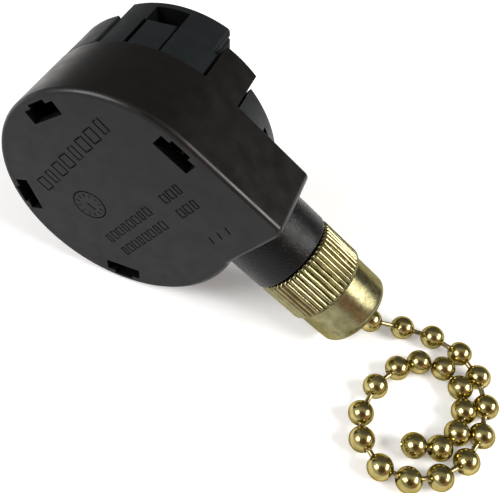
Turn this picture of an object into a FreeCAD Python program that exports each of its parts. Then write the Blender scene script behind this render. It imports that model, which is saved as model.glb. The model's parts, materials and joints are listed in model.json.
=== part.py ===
import FreeCAD, Part
import math
import os
import Sketcher

# A pull cord switch for a ceiling fan or lamp. Every piece is drawn in the bench frame, as the switch
# lies on its rating face: X runs along the neck, Z from the rating face into the switch, and the
# straight side of the case faces -Y. The drum axis is the bench Z axis. "to_rest" then lays the switch
# on its round wall, with the tip of the nut on the table, the rating face on the row's XZ plane.
Vector = FreeCAD.Vector
Placement = FreeCAD.Placement
Rotation = FreeCAD.Rotation

DIMENSIONS = [
    # rear case
    ("case_radius", 17.5),
    ("wall_height", 11.3),
    ("wall_thickness", 1.5),
    ("floor_thickness", 1.6),
    ("rim_fillet", 0.8),
    ("block_end", 16.5),
    ("block_corner", 1.2),
    # neck and threaded stub
    ("chain_offset", 8.9),
    ("chain_depth", 6.7),
    ("neck_radius", 6.55),
    ("neck_end", 22.7),
    ("stub_end", 33.5),
    ("thread_radius", 4.72),
    ("thread_depth", 0.45),
    ("thread_pitch", 0.94),
    ("chain_bore", 2.3),
    # windows in the rating face, and the snap tabs above them
    ("station_step", 72.0),
    ("window_inner", 13.9),
    ("window_outer", 15.9),
    ("window_notch", 16.5),
    ("window_width", 5.4),
    ("notch_width", 2.9),
    ("tab_width", 5.5),
    ("tab_inner", 15.9),
    ("tab_top", 18.6),
    ("barb_reach", 0.7),
    ("barb_height", 1.6),
    # terminal cover
    ("cover_radius", 17.2),
    ("cover_inner", 14.4),
    ("spigot_radius", 15.9),
    ("spigot_drop", 1.3),
    ("deck_top", 16.5),
    ("deck_thickness", 1.3),
    ("tower_top", 22.4),
    ("tower_half", 7.75),
    ("tower_back", 6.0),
    ("tower_wall", 1.4),
    ("tower_angle", 129.0),
    ("tab_clearance", 0.3),
    ("key_slot_width", 4.9),
    ("key_slot_top", 21.0),
    ("side_slot_width", 4.9),
    ("side_slot_top", 14.7),
    ("cover_fillet", 0.6),
    # wire entries, along and across the tower
    ("wire_bore", 1.35),
    ("wire_guide", 2.4),
    ("wire_guide_drop", 1.6),
    ("wire_far", 11.0),
    ("wire_near", 3.0),
    ("wire_side", 3.3),
    # contact carrier
    ("carrier_radius", 14.3),
    ("carrier_bottom", 13.4),
    ("key_width", 4.2),
    ("key_radius", 17.1),
    ("key_bottom", 11.45),
    ("key_top", 17.4),
    ("post_width", 4.4),
    ("post_inner", 12.3),
    ("post_bottom", 9.8),
    ("detent_angle", 20.0),
    # terminals and wire clamps
    ("terminal_offset", 2.5),
    ("terminal_width", 2.8),
    ("terminal_thickness", 0.4),
    ("terminal_finger", 2.6),
    ("terminal_bend", 1.2),
    ("terminal_slot_length", 3.2),
    ("terminal_slot_width", 0.6),
    ("clamp_inset", 1.9),
    ("clamp_width", 2.2),
    ("clamp_thickness", 0.25),
    ("clamp_foot", 3.6),
    ("clamp_rise", 1.8),
    ("clamp_lean", 2.2),
    ("clamp_top", 2.9),
    # axle, drum and rotor
    ("axle_radius", 1.5),
    ("axle_foot", 0.8),
    ("running_gap", 0.05),
    ("boss_radius", 2.6),
    ("boss_top", 2.2),
    ("drum_bottom", 4.3),
    ("drum_height", 4.8),
    ("drum_flange", 10.4),
    ("flange_thickness", 0.6),
    ("drum_hub", 3.2),
    ("tooth_inner", 4.3),
    ("tooth_outer", 7.0),
    ("tooth_width", 3.2),
    ("tooth_height", 0.9),
    ("tooth_gap", 0.15),
    ("tooth_count", 8),
    ("rotor_radius", 9.6),
    ("rotor_thickness", 1.9),
    ("rotor_hub", 3.0),
    ("scallop_radius", 1.2),
    ("scallop_depth", 0.6),
    ("contact_thickness", 0.4),
    ("contact_radius", 8.6),
    # springs
    ("return_spring_bottom", 2.3),
    ("return_spring_width", 1.6),
    ("return_spring_inner", 3.4),
    ("return_spring_pitch", 1.0),
    ("return_spring_strip", 0.4),
    ("return_spring_turns", 5),
    ("coil_wire", 0.4),
    ("rotor_spring_radius", 2.2),
    ("rotor_spring_turns", 1.5),
    ("detent_spring_radius", 0.7),
    ("detent_spring_length", 1.8),
    ("detent_spring_turns", 3),
    # ball chain
    ("bead_radius", 1.7),
    ("link_radius", 0.45),
    ("bead_pitch", 4.4),
    ("chain_start", 2.0),
    ("chain_handover", 35.2),
    ("wrapped_beads", 5),
    # nut and chain guide
    ("nut_start", 23.05),
    ("knurl_end", 30.2),
    ("nut_end", 36.7),
    ("knurl_radius", 6.5),
    ("knurl_depth", 0.25),
    ("knurl_count", 48),
    ("tip_radius", 6.0),
    ("tip_fillet", 1.2),
    ("nut_bore", 4.8),
    ("nut_floor", 35.4),
    ("tip_hole", 3.4),
    ("guide_radius", 2.9),
    ("guide_bore", 2.1),
    ("guide_depth", 5.0),
    ("guide_flange", 4.2),
    ("guide_lip", 0.6),
    # how the switch lies
    ("rest_tilt", 33.5),
]

document = FreeCAD.newDocument("pull_cord_switch")
sheet = document.addObject("Spreadsheet::Sheet", "Sizes")
for row, (alias, number) in enumerate(DIMENSIONS, start=1):
    sheet.set(f"A{row}", alias)
    sheet.set(f"B{row}", str(number))
    sheet.setAlias(f"B{row}", alias)
document.recompute()


class Size:
    """A driving dimension, or a sum or product of them: its number and the expression that binds it."""

    def __init__(self, number, text):
        self.number = number
        self.text = text

    def __add__(self, other):
        other = as_size(other)
        return Size(self.number + other.number, f"({self.text} + {other.text})")

    def __sub__(self, other):
        other = as_size(other)
        return Size(self.number - other.number, f"({self.text} - {other.text})")

    def __mul__(self, factor):
        return Size(self.number * factor, f"({self.text} * {factor})")

    def __neg__(self):
        return Size(-self.number, f"(-1 * {self.text})")


def as_size(value):
    return value if isinstance(value, Size) else Size(float(value), str(value))


def cell(alias):
    return Size(float(sheet.get(alias)), f"Sizes.{alias}")


D = {alias: cell(alias) for alias, number in DIMENSIONS}
N = {alias: size.number for alias, size in D.items()}
ZERO = as_size(0)

to_rest = Placement(Vector(), Rotation(Vector(0, 1, 0), N["rest_tilt"]))
to_rest = to_rest.multiply(Placement(Vector(), Rotation(Vector(1, 0, 0), -90)))
nodes = []


def bind(item, name, value):
    value = as_size(value)
    item.setExpression(name, value.text)


def keep(item, name):
    """Names a finished sub-part and lays it in the row frame."""
    item.Label = name
    item.Placement = to_rest
    nodes.append(item)
    return item


def keep_shape(shape, name):
    """Adds a shape drawn with Part's own functions, in its place in the bench frame."""
    item = document.addObject("Part::Feature", name)
    item.Shape = shape
    keep(item, name)
    item.Placement = to_rest.multiply(shape.Placement)


def new_body(name):
    return keep(document.addObject("PartDesign::Body", name), name)


def origin_feature(body, role):
    return [item for item in body.Origin.OriginFeatures if item.Role == role][0]


# ---------------------------------------------------------------- sketches

def new_sketch(body, name, role="XY_Plane", height=ZERO, turn=None):
    """A sketch on a plane of the body's origin, raised by height and turned about its own normal."""
    sketch = body.newObject("Sketcher::SketchObject", name)
    sketch.AttachmentSupport = [(origin_feature(body, role), "")]
    sketch.MapMode = "FlatFace"
    turn = as_size(turn or 0)
    sketch.AttachmentOffset = Placement(Vector(), Rotation(Vector(0, 0, 1), turn.number or 1))
    bind(sketch, ".AttachmentOffset.Base.z", height)
    bind(sketch, ".AttachmentOffset.Rotation.Angle", turn)
    return sketch


def pin_point(sketch, geometry, end, across, up):
    """Fixes one point of the sketch at (across, up) from the sketch's origin."""
    for kind, axis, value in (("DistanceX", -2, across), ("DistanceY", -1, up)):
        value = as_size(value)
        if abs(value.number) < 1e-9:
            sketch.addConstraint(Sketcher.Constraint("PointOnObject", geometry, end, axis))
        else:
            rule = Sketcher.Constraint(kind, -1, 1, geometry, end, value.number)
            index = sketch.addConstraint(rule)
            bind(sketch, f"Constraints[{index}]", value)


def draw_circle(sketch, radius, across=ZERO, up=ZERO):
    across, up = as_size(across), as_size(up)
    centre = Vector(across.number, up.number, 0)
    circle = sketch.addGeometry(Part.Circle(centre, Vector(0, 0, 1), radius.number))
    index = sketch.addConstraint(Sketcher.Constraint("Radius", circle, radius.number))
    bind(sketch, f"Constraints[{index}]", radius)
    pin_point(sketch, circle, 3, across, up)


def draw_polygon(sketch, corners):
    """A closed outline of straight lines, every corner pinned to its driving dimensions."""
    corners = [(as_size(across), as_size(up)) for across, up in corners]
    points = [Vector(across.number, up.number, 0) for across, up in corners]
    lines = []
    for index, point in enumerate(points):
        following = points[(index + 1) % len(points)]
        lines.append(sketch.addGeometry(Part.LineSegment(point, following)))
    for index, line in enumerate(lines):
        following = lines[(index + 1) % len(lines)]
        sketch.addConstraint(Sketcher.Constraint("Coincident", line, 2, following, 1))
        pin_point(sketch, line, 1, *corners[index])


def draw_rectangle(sketch, left, right, low, high):
    draw_polygon(sketch, [(left, low), (right, low), (right, high), (left, high)])


def draw_station(sketch, inner, outer, half):
    """A block between two radii with parallel sides, pointing along -Y: the shape of a tab or slot."""
    def on_circle(radius, side):
        return Vector(side * half.number, -math.sqrt(radius.number ** 2 - half.number ** 2), 0)

    rim = []
    for radius in (inner, outer):
        left, right = on_circle(radius, -1), on_circle(radius, 1)
        start = math.atan2(left.y, left.x)
        finish = math.atan2(right.y, right.x)
        circle = Part.Circle(Vector(), Vector(0, 0, 1), radius.number)
        arc = sketch.addGeometry(Part.ArcOfCircle(circle, start, finish))
        sketch.addConstraint(Sketcher.Constraint("Coincident", arc, 3, -1, 1))
        index = sketch.addConstraint(Sketcher.Constraint("Radius", arc, radius.number))
        bind(sketch, f"Constraints[{index}]", radius)
        rim.append(arc)
    for side, end in ((-1, 1), (1, 2)):
        line = sketch.addGeometry(Part.LineSegment(on_circle(inner, side), on_circle(outer, side)))
        sketch.addConstraint(Sketcher.Constraint("Coincident", line, 1, rim[0], end))
        sketch.addConstraint(Sketcher.Constraint("Coincident", line, 2, rim[1], end))
        sketch.addConstraint(Sketcher.Constraint("Vertical", line))
        rule = Sketcher.Constraint("DistanceX", -1, 1, line, 1, side * half.number)
        bind(sketch, f"Constraints[{sketch.addConstraint(rule)}]", half * side)


def draw_axis(sketch, up):
    """A construction line along X, the axis that a profile turns about."""
    first, second = Vector(0, up.number, 0), Vector(1, up.number, 0)
    line = sketch.addGeometry(Part.LineSegment(first, second), True)
    pin_point(sketch, line, 1, ZERO, up)
    pin_point(sketch, line, 2, as_size(1), up)


# ---------------------------------------------------------------- features

def pad(body, sketch, length, backwards=False):
    feature = body.newObject("PartDesign::Pad", sketch.Name + "_pad")
    feature.Profile = sketch
    feature.Reversed = backwards
    bind(feature, "Length", length)
    document.recompute()
    return feature


def pocket(body, sketch, length, forwards=True):
    """Cuts along the sketch's own normal when forwards is true, against it otherwise."""
    feature = body.newObject("PartDesign::Pocket", sketch.Name + "_pocket")
    feature.Profile = sketch
    feature.Reversed = forwards
    bind(feature, "Length", length)
    document.recompute()
    return feature


def revolve(body, sketch, axis="Axis0"):
    feature = body.newObject("PartDesign::Revolution", sketch.Name + "_turned")
    feature.Profile = sketch
    feature.ReferenceAxis = (sketch, [axis])
    feature.Angle = 360
    document.recompute()
    return feature


def polar_pattern(body, feature, count, angle, clockwise=False):
    pattern = body.newObject("PartDesign::PolarPattern", feature.Name + "_pattern")
    pattern.Originals = [feature]
    pattern.Axis = (origin_feature(body, "Z_Axis"), [""])
    pattern.Reversed = clockwise
    pattern.Occurrences = int(count)
    bind(pattern, "Angle", angle)
    body.Tip = pattern
    document.recompute()
    return pattern


def round_edges(body, name, radius, chosen):
    """Fillets the edges of the tip feature for which chosen(edge) is true."""
    base = body.Tip
    names = [f"Edge{index}" for index, edge in enumerate(base.Shape.Edges, start=1) if chosen(edge)]
    feature = body.newObject("PartDesign::Fillet", name)
    feature.Base = (base, names)
    bind(feature, "Radius", radius)
    document.recompute()
    return feature


def lies_flat_at(height):
    def test(edge):
        box = edge.BoundBox
        return abs(box.ZMin - height) < 1e-6 and abs(box.ZMax - height) < 1e-6
    return test


# ---------------------------------------------------------------- housing

def draw_case_outline(sketch):
    """The round wall, its straight tangent side, and the end face of the block that carries the neck."""
    radius, end, corner = D["case_radius"], D["block_end"], D["block_corner"]
    meet = math.sqrt(N["case_radius"] ** 2 - N["block_end"] ** 2)
    whole = Part.Circle(Vector(), Vector(0, 0, 1), radius.number)
    wall = sketch.addGeometry(Part.ArcOfCircle(whole, math.atan2(-meet, end.number), 1.5 * math.pi))
    side_end = Vector((end - corner).number, -radius.number, 0)
    side = sketch.addGeometry(Part.LineSegment(Vector(0, -radius.number, 0), side_end))
    round_centre = Vector((end - corner).number, (corner - radius).number, 0)
    bend = Part.Circle(round_centre, Vector(0, 0, 1), corner.number)
    bend = sketch.addGeometry(Part.ArcOfCircle(bend, -0.5 * math.pi, 0))
    face_start = Vector(end.number, (corner - radius).number, 0)
    face = sketch.addGeometry(Part.LineSegment(face_start, Vector(end.number, -meet, 0)))
    for rule in (
        ("Coincident", wall, 3, -1, 1),
        ("Coincident", wall, 2, side, 1),
        ("PointOnObject", side, 1, -2),
        ("Horizontal", side),
        ("Tangent", side, 2, bend, 1),
        ("Tangent", bend, 2, face, 1),
        ("Vertical", face),
        ("Coincident", face, 2, wall, 1),
    ):
        sketch.addConstraint(Sketcher.Constraint(*rule))
    for rule, value in (
        (("Radius", wall, radius.number), radius),
        (("Radius", bend, corner.number), corner),
        (("DistanceX", -1, 1, face, 1, end.number), end),
    ):
        bind(sketch, f"Constraints[{sketch.addConstraint(Sketcher.Constraint(*rule))}]", value)


def neck_profile():
    """Half of the neck and threaded stub, seen from the rating face, from the block out to the tip."""
    axis = -D["chain_offset"]
    root = D["thread_radius"] - D["thread_depth"]
    start = D["block_end"] - 0.6
    points = [(start, axis), (D["stub_end"], axis), (D["stub_end"], axis + root)]
    turns = int((N["stub_end"] - N["neck_end"]) / N["thread_pitch"])
    for turn in range(turns):
        crest = D["stub_end"] - D["thread_pitch"] * (turn + 0.5)
        flank = D["thread_pitch"] * 0.4
        points.append((crest + flank, axis + root))
        points.append((crest, axis + D["thread_radius"]))
        points.append((crest - flank, axis + root))
    points += [(D["neck_end"], axis + root), (D["neck_end"], axis + D["neck_radius"])]
    points.append((start, axis + D["neck_radius"]))
    return points


def cut_chain_bore(body, name, radius, start, length):
    """A bore along the neck axis from X = start back towards the drum."""
    sketch = new_sketch(body, name, "YZ_Plane", start)
    draw_circle(sketch, radius, -D["chain_offset"], D["chain_depth"])
    return pocket(body, sketch, length, forwards=False)


def make_rear_case():
    body = new_body("rear_case")
    outline = new_sketch(body, "case_outline")
    draw_case_outline(outline)
    pad(body, outline, D["wall_height"])
    round_edges(body, "case_rim", D["rim_fillet"], lies_flat_at(0))

    profile = new_sketch(body, "neck_profile", height=D["chain_depth"])
    draw_polygon(profile, neck_profile())
    draw_axis(profile, -D["chain_offset"])
    revolve(body, profile)

    cavity = new_sketch(body, "case_cavity", height=D["floor_thickness"])
    draw_circle(cavity, D["case_radius"] - D["wall_thickness"])
    pocket(body, cavity, D["wall_height"])

    boss = new_sketch(body, "axle_boss", height=D["floor_thickness"] - 0.1)
    draw_circle(boss, D["boss_radius"])
    pad(body, boss, D["boss_top"] - D["floor_thickness"] + 0.1)
    seat = new_sketch(body, "axle_seat", height=D["axle_foot"])
    draw_circle(seat, D["axle_radius"])
    pocket(body, seat, D["boss_top"])

    bore_length = D["stub_end"] - D["case_radius"] + 6
    cut_chain_bore(body, "neck_bore", D["chain_bore"], D["stub_end"], bore_length)
    cut_chain_bore(body, "guide_seat", D["guide_radius"], D["stub_end"], D["guide_depth"])

    # each window is a slot with a shallow notch in its outer edge
    window = new_sketch(body, "face_window")
    half, notch = D["window_width"] * 0.5, D["notch_width"] * 0.5
    draw_polygon(window, [
        (-half, -D["window_inner"]), (-half, -D["window_outer"]),
        (-notch, -D["window_outer"]), (-notch, -D["window_notch"]),
        (notch, -D["window_notch"]), (notch, -D["window_outer"]),
        (half, -D["window_outer"]), (half, -D["window_inner"]),
    ])
    sweep = D["station_step"] * 3
    polar_pattern(body, pocket(body, window, D["floor_thickness"] + 1), 4, sweep, clockwise=True)

    tab = new_sketch(body, "snap_tab", height=D["wall_height"] - 1)
    draw_station(tab, D["tab_inner"], D["case_radius"], D["tab_width"] * 0.5)
    tab_pad = pad(body, tab, D["tab_top"] - D["wall_height"] + 1)
    polar_pattern(body, tab_pad, 4, sweep, clockwise=True)
    barb = new_sketch(body, "tab_barb", height=D["deck_top"])
    reach = D["tab_inner"] - D["barb_reach"]
    draw_station(barb, reach, D["case_radius"] - 0.5, D["tab_width"] * 0.3)
    polar_pattern(body, pad(body, barb, D["barb_height"]), 4, sweep, clockwise=True)


def tower_outline(sketch, radius, half, back):
    """A band pointing along the sketch's X, closed by the round wall at its far end."""
    reach = math.sqrt(radius.number ** 2 - half.number ** 2)
    angle = math.asin(half.number / radius.number)
    whole = Part.Circle(Vector(), Vector(0, 0, 1), radius.number)
    arc = sketch.addGeometry(Part.ArcOfCircle(whole, -angle, angle))
    sketch.addConstraint(Sketcher.Constraint("Coincident", arc, 3, -1, 1))
    index = sketch.addConstraint(Sketcher.Constraint("Radius", arc, radius.number))
    bind(sketch, f"Constraints[{index}]", radius)
    lines = []
    for first, second in (
        ((reach, half.number), (-back.number, half.number)),
        ((-back.number, half.number), (-back.number, -half.number)),
        ((-back.number, -half.number), (reach, -half.number)),
    ):
        lines.append(sketch.addGeometry(Part.LineSegment(Vector(*first, 0), Vector(*second, 0))))
    for first, second in (((arc, 2), (lines[0], 1)), ((lines[0], 2), (lines[1], 1)),
                          ((lines[1], 2), (lines[2], 1)), ((lines[2], 2), (arc, 1))):
        sketch.addConstraint(Sketcher.Constraint("Coincident", *first, *second))
    sketch.addConstraint(Sketcher.Constraint("Horizontal", lines[0]))
    sketch.addConstraint(Sketcher.Constraint("Horizontal", lines[2]))
    pin_point(sketch, lines[1], 1, -back, half)
    pin_point(sketch, lines[1], 2, -back, -half)


def cut_wall_slot(body, name, angle, width, top):
    """A slot through the cover's wall, open at its lower edge, at an angle clockwise from the neck."""
    bottom = D["wall_height"] - D["spigot_drop"] - 1
    slot = new_sketch(body, name, height=bottom, turn=-angle)
    draw_rectangle(slot, D["cover_inner"] - 1.5, D["cover_radius"] + 1, width * -0.5, width * 0.5)
    return pocket(body, slot, top - bottom)


def wire_places():
    """The four wire entries as (name, along the tower, across the tower)."""
    side = D["wire_side"]
    return [
        ("line", D["wire_far"], side),
        ("one", D["wire_far"], -side),
        ("two", D["wire_near"], side),
        ("three", D["wire_near"], -side),
    ]


def make_terminal_cover():
    body = new_body("terminal_cover")
    turn = -D["tower_angle"]
    rim = D["wall_height"]
    skirt = new_sketch(body, "cover_skirt", height=rim)
    draw_circle(skirt, D["cover_radius"])
    pad(body, skirt, D["deck_top"] - rim)
    tower = new_sketch(body, "cover_tower", height=rim, turn=turn)
    tower_outline(tower, D["cover_radius"], D["tower_half"], D["tower_back"])
    pad(body, tower, D["tower_top"] - rim)
    round_edges(body, "tower_rim", D["cover_fillet"], lies_flat_at(N["tower_top"]))

    spigot = new_sketch(body, "cover_spigot", height=rim - D["spigot_drop"])
    draw_circle(spigot, D["spigot_radius"])
    pad(body, spigot, D["spigot_drop"] + 0.5)
    cavity = new_sketch(body, "cover_cavity", height=rim - D["spigot_drop"])
    draw_circle(cavity, D["cover_inner"])
    pocket(body, cavity, D["deck_top"] - D["deck_thickness"] - rim + D["spigot_drop"])
    chamber = new_sketch(body, "tower_chamber", height=rim, turn=turn)
    wall = D["tower_wall"]
    inner_half = D["tower_half"] - wall
    draw_rectangle(chamber, wall - D["tower_back"], D["cover_inner"] - wall, -inner_half, inner_half)
    pocket(body, chamber, D["tower_top"] - wall - rim)

    guides = new_sketch(body, "wire_guides", height=D["tower_top"] - wall * 0.5, turn=turn)
    for name, along, across in wire_places():
        draw_circle(guides, D["wire_guide"], along, across)
    pad(body, guides, wall * 0.5 + D["wire_guide_drop"], backwards=True)
    bores = new_sketch(body, "wire_bores", height=D["tower_top"], turn=turn)
    for name, along, across in wire_places():
        draw_circle(bores, D["wire_bore"], along, across)
    pocket(body, bores, wall + D["wire_guide_drop"] + 1, forwards=False)

    notch = new_sketch(body, "tab_notch", height=rim - D["spigot_drop"] - 1)
    notch_half = D["tab_width"] * 0.5 + D["tab_clearance"]
    draw_station(notch, D["tab_inner"] - 0.1, D["cover_radius"] + 1, notch_half)
    cut = pocket(body, notch, D["tower_top"] - rim + D["spigot_drop"] + 1)
    polar_pattern(body, cut, 4, D["station_step"] * 3, clockwise=True)
    # the tower only reaches over the barb of the second tab
    relief = new_sketch(body, "barb_relief", height=D["deck_top"], turn=-D["station_step"])
    reach = D["tab_inner"] - D["barb_reach"] - 0.2
    draw_station(relief, reach, D["cover_radius"] + 1, D["tab_width"] * 0.3 + 0.3)
    pocket(body, relief, D["barb_height"] + 0.3)

    cut_wall_slot(body, "key_slot", D["tower_angle"], D["key_slot_width"], D["key_slot_top"])
    for number, steps in enumerate((0.75, 2.75, 3.75), start=1):
        angle = D["station_step"] * steps
        cut_wall_slot(body, f"side_slot_{number}", angle, D["side_slot_width"], D["side_slot_top"])

    relief = new_sketch(body, "neck_relief", "YZ_Plane", D["block_end"] - 1)
    draw_circle(relief, D["neck_radius"] + 0.3, -D["chain_offset"], D["chain_depth"])
    pocket(body, relief, as_size(4))


# ---------------------------------------------------------------- contacts

def make_contact_carrier():
    """The insulating plate under the cover: it holds the terminals, the axle's end and the detent."""
    body = new_body("contact_carrier")
    top = D["deck_top"] - D["deck_thickness"]
    disc = new_sketch(body, "carrier_disc", height=D["carrier_bottom"])
    draw_circle(disc, D["carrier_radius"])
    pad(body, disc, top - D["carrier_bottom"])
    key = new_sketch(body, "carrier_key", height=D["key_bottom"], turn=-D["tower_angle"])
    half = D["key_width"] * 0.5
    draw_rectangle(key, D["carrier_radius"] - 1, D["key_radius"], -half, half)
    pad(body, key, D["key_top"] - D["key_bottom"])
    post = new_sketch(body, "detent_post", height=D["post_bottom"], turn=D["detent_angle"])
    half = D["post_width"] * 0.5
    draw_rectangle(post, D["post_inner"], D["carrier_radius"] - 0.3, -half, half)
    pad(body, post, top - D["post_bottom"] - 0.2)
    pilot = new_sketch(body, "axle_pilot", height=D["carrier_bottom"] - 1)
    draw_circle(pilot, D["axle_radius"] + D["running_gap"])
    pocket(body, pilot, D["drum_height"])
    slots = new_sketch(body, "terminal_slots", height=D["carrier_bottom"] - 1, turn=-D["tower_angle"])
    for name, along, across in wire_places():
        side = 1 if across.number > 0 else -1
        outer = across + D["terminal_offset"] * side
        half = D["terminal_slot_length"] * 0.5
        gap = D["terminal_slot_width"] * (0.5 * side)
        draw_rectangle(slots, along - half, along + half, outer - gap, outer + gap)
    pocket(body, slots, D["drum_height"])
    barrel = new_sketch(body, "detent_bore", "YZ_Plane", D["post_inner"] - 1)
    barrel.AttachmentOffset = Placement()
    barrel.MapMode = "Deactivated"
    turned = Rotation(Vector(0, 0, 1), N["detent_angle"])
    facing = turned.multiply(Rotation(Vector(0, 0, 1), Vector(1, 0, 0)))
    start = turned.multVec(Vector(N["post_inner"] - 1, 0, detent_height()))
    barrel.Placement = Placement(start, facing)
    draw_circle(barrel, D["scallop_radius"] - 0.1)
    pocket(body, barrel, as_size(2.6))


def detent_height():
    return rotor_bottom().number + 0.5 * N["rotor_thickness"]


def drum_top():
    return D["drum_bottom"] + D["drum_height"]


def rotor_bottom():
    return drum_top() + D["tooth_height"] + D["tooth_gap"]


def rotor_top():
    return rotor_bottom() + D["rotor_thickness"]


def sheet_strip(points, thickness, low, high, direction):
    """A strip bent through the points, given in the plane of direction and Z, and as wide as low to high."""
    across = direction.cross(Vector(0, 0, 1))
    left = []
    right = []
    for index, (along, height) in enumerate(points):
        before = points[max(index - 1, 0)]
        after = points[min(index + 1, len(points) - 1)]
        span = math.hypot(after[0] - before[0], after[1] - before[1])
        offset_along = -(after[1] - before[1]) / span * thickness / 2
        offset_height = (after[0] - before[0]) / span * thickness / 2
        left.append((along + offset_along, height + offset_height))
        right.append((along - offset_along, height - offset_height))
    outline = left + right[::-1]
    corners = [direction * along + Vector(0, 0, height) + across * low for along, height in outline]
    face = Part.Face(Part.makePolygon(corners + corners[:1]))
    return face.extrude(across * (high - low))


def tower_direction():
    return Rotation(Vector(0, 0, 1), -N["tower_angle"]).multVec(Vector(1, 0, 0))


def make_terminal(name, along, across):
    """A brass strip: a wiper finger under the carrier, a leg through its slot, and a wire plate."""
    side = 1 if across.number > 0 else -1
    outward = Rotation(Vector(0, 0, 1), 90 * side).multVec(tower_direction())
    leg = abs(across.number) + N["terminal_offset"]
    floor = N["carrier_bottom"] - 0.25
    wiper = rotor_top().number + N["contact_thickness"] + 0.45
    points = [
        (leg - N["terminal_finger"], wiper), (leg - N["terminal_bend"], floor),
        (leg, floor + 0.1), (leg, N["key_slot_top"] - 2.4),
    ]
    low = side * along.number - N["terminal_width"] / 2
    strip = sheet_strip(points, N["terminal_thickness"], low, low + N["terminal_width"], outward)
    keep_shape(strip, f"terminal_{name}")


def make_wire_clamp(name, along, across):
    """The steel leaf that grips a pushed-in wire against its terminal."""
    side = 1 if across.number > 0 else -1
    outward = Rotation(Vector(0, 0, 1), 90 * side).multVec(tower_direction())
    inner = abs(across.number) - N["clamp_inset"]
    base = N["deck_top"] - N["deck_thickness"] + 0.15
    points = [
        (inner + N["clamp_foot"], base), (inner, base),
        (inner, base + N["clamp_rise"]), (inner + N["clamp_lean"], base + N["clamp_top"]),
    ]
    low = side * along.number - N["clamp_width"] / 2
    leaf = sheet_strip(points, N["clamp_thickness"], low, low + N["clamp_width"], outward)
    keep_shape(leaf, f"wire_clamp_{name}")


# ---------------------------------------------------------------- moving parts

def make_drum_axle():
    body = new_body("drum_axle")
    shaft = new_sketch(body, "axle_shaft", height=D["axle_foot"])
    draw_circle(shaft, D["axle_radius"])
    length = D["deck_top"] - D["deck_thickness"] - D["axle_foot"] - 0.2
    pad(body, shaft, length)


def draw_tooth(sketch, base, height, width):
    """A saw tooth across the radius: one upright face and one ramp."""
    half = width * 0.5
    draw_polygon(sketch, [(-half, base), (half, base), (half, base + height)])


def make_drive_drum():
    """The chain winds on the drum between its flanges, and its top teeth drive the rotor."""
    body = new_body("drive_drum")
    bottom, top = D["drum_bottom"], drum_top()
    core = D["chain_offset"] - D["bead_radius"] - 0.05
    flange = D["flange_thickness"]
    bore = D["axle_radius"] + D["running_gap"]
    profile = new_sketch(body, "drum_profile", "XZ_Plane")
    foot = D["return_spring_bottom"] + 0.2
    draw_polygon(profile, [
        (bore, foot), (D["drum_hub"], foot), (D["drum_hub"], bottom), (D["drum_flange"], bottom),
        (D["drum_flange"], bottom + flange), (core, bottom + flange), (core, top - flange),
        (D["drum_flange"], top - flange), (D["drum_flange"], top), (bore, top),
    ])
    revolve(body, profile, "V_Axis")
    tooth = new_sketch(body, "drum_tooth", "YZ_Plane", D["tooth_inner"])
    draw_tooth(tooth, top - 0.05, D["tooth_height"] + 0.05, D["tooth_width"])
    tooth_pad = pad(body, tooth, D["tooth_outer"] - D["tooth_inner"])
    polar_pattern(body, tooth_pad, N["tooth_count"], as_size(360))


def make_ratchet_rotor():
    """Carries the moving contact. Its lower teeth lie on the drum's ramps, its rim holds the detent."""
    body = new_body("ratchet_rotor")
    low, high = rotor_bottom(), rotor_top()
    bore = D["axle_radius"] + D["running_gap"]
    profile = new_sketch(body, "rotor_profile", "XZ_Plane")
    draw_polygon(profile, [
        (bore, low), (D["rotor_radius"], low), (D["rotor_radius"], high), (D["rotor_hub"], high),
        (D["rotor_hub"], high + D["contact_thickness"]), (bore, high + D["contact_thickness"]),
    ])
    revolve(body, profile, "V_Axis")
    tooth = new_sketch(body, "rotor_tooth", "YZ_Plane", D["tooth_inner"])
    half = D["tooth_width"] * 0.5
    depth = D["tooth_height"]
    draw_polygon(tooth, [
        (-half, low + 0.05), (half - 0.2, low + 0.05), (half - 0.2, low), (-half, low - depth),
    ])
    tooth_pad = pad(body, tooth, D["tooth_outer"] - D["tooth_inner"])
    polar_pattern(body, tooth_pad, N["tooth_count"], as_size(360))
    scallop = new_sketch(body, "rotor_scallop", height=low - 0.5, turn=D["detent_angle"])
    centre = D["rotor_radius"] + D["scallop_radius"] - D["scallop_depth"]
    draw_circle(scallop, D["scallop_radius"], centre)
    cut = pocket(body, scallop, D["rotor_thickness"] + 1)
    polar_pattern(body, cut, N["tooth_count"], as_size(360))


def make_rotor_contact():
    """A brass plate with a full inner ring and two opposite wings that bridge the terminals."""
    body = new_body("rotor_contact")
    base = new_sketch(body, "contact_ring", height=rotor_top())
    draw_circle(base, D["rotor_hub"] + 1.6)
    draw_circle(base, D["rotor_hub"])
    pad(body, base, D["contact_thickness"])
    wing = new_sketch(body, "contact_wing", height=rotor_top())
    draw_station(wing, D["rotor_hub"] + 1, D["contact_radius"], as_size(2.6))
    wing_pad = pad(body, wing, D["contact_thickness"])
    polar_pattern(body, wing_pad, 2, as_size(180))


def make_coil_spring(name, radius, start, direction, length, turns):
    """A round-wire compression spring from start along direction."""
    wire = N["coil_wire"] / 2
    span = length - 2 * wire
    helix = Part.makeHelix(span / turns, span, radius)
    section = Part.Wire(Part.makeCircle(wire, Vector(radius, 0, 0), Vector(0, 1, 0)))
    coil = Part.Wire(helix.Edges).makePipeShell([section], True, True)
    coil.translate(Vector(0, 0, wire))
    coil.Placement = Placement(start, Rotation(Vector(0, 0, 1), direction)).multiply(coil.Placement)
    keep_shape(coil, name)


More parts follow.
